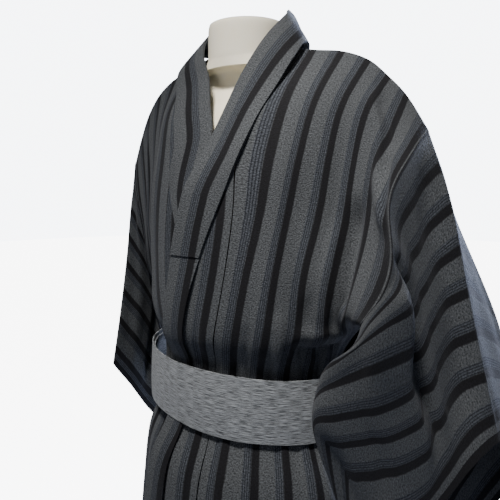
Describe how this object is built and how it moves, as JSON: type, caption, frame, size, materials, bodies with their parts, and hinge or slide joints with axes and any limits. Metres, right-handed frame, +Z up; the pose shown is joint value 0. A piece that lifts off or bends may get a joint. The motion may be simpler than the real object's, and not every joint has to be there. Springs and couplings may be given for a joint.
{
  "type": "cotton yukata robe on a dress form",
  "caption": "Striped cotton yukata worn left over right with a tied kaku obi, open square sleeves, on a limbless dress form with a flat round base.",
  "frame": {"origin": "centre of the round base's underside, on the floor", "axes": "+Z up, front towards -Y, the wearer's left towards +X"},
  "size_m": [0.6372, 0.3608, 1.4894],
  "materials": {
    "striped_cotton_left": "matte crepe cotton, charcoal, black and grey stripes along the warp",
    "striped_cotton_right": "matte crepe cotton, charcoal, black and grey stripes along the warp",
    "striped_cotton_okumi_left": "matte crepe cotton, charcoal, black and grey stripes along the warp",
    "striped_cotton_okumi_right": "matte crepe cotton, charcoal, black and grey stripes along the warp",
    "striped_cotton_sleeve_left": "matte crepe cotton, charcoal, black and grey stripes along the warp",
    "striped_cotton_sleeve_right": "matte crepe cotton, charcoal, black and grey stripes along the warp",
    "striped_cotton_collar": "matte crepe cotton, charcoal, black and grey stripes along the warp",
    "striped_cotton_over_collar": "matte crepe cotton, charcoal, black and grey stripes along the warp",
    "grey_obi_under": "satin, fine slubs across the wearer",
    "grey_obi": "satin, fine slubs across the wearer",
    "grey_obi_knot_wrap": "satin, fine slubs across the wearer",
    "grey_obi_knot_end": "satin, fine slubs across the wearer",
    "grey_obi_knot_loop": "satin, fine slubs across the wearer",
    "form_linen": "matte linen",
    "form_linen_neck": "matte linen",
    "pole_steel": "satin",
    "base_steel": "satin"
  },
  "bodies": {
    "root": {"body_left": "striped_cotton_left", "body_right": "striped_cotton_right", "okumi_left": "striped_cotton_okumi_left", "okumi_right": "striped_cotton_okumi_right", "sleeve_left": "striped_cotton_sleeve_left", "sleeve_right": "striped_cotton_sleeve_right", "collar": "striped_cotton_collar", "over_collar": "striped_cotton_over_collar", "obi_under": "grey_obi_under", "obi": "grey_obi", "obi_knot_wrap": "grey_obi_knot_wrap", "obi_knot_end": "grey_obi_knot_end", "obi_knot_loop": "grey_obi_knot_loop", "form_torso": "form_linen", "form_neck": "form_linen_neck", "form_pole": "pole_steel", "form_base": "base_steel"}
  },
  "joints": []
}
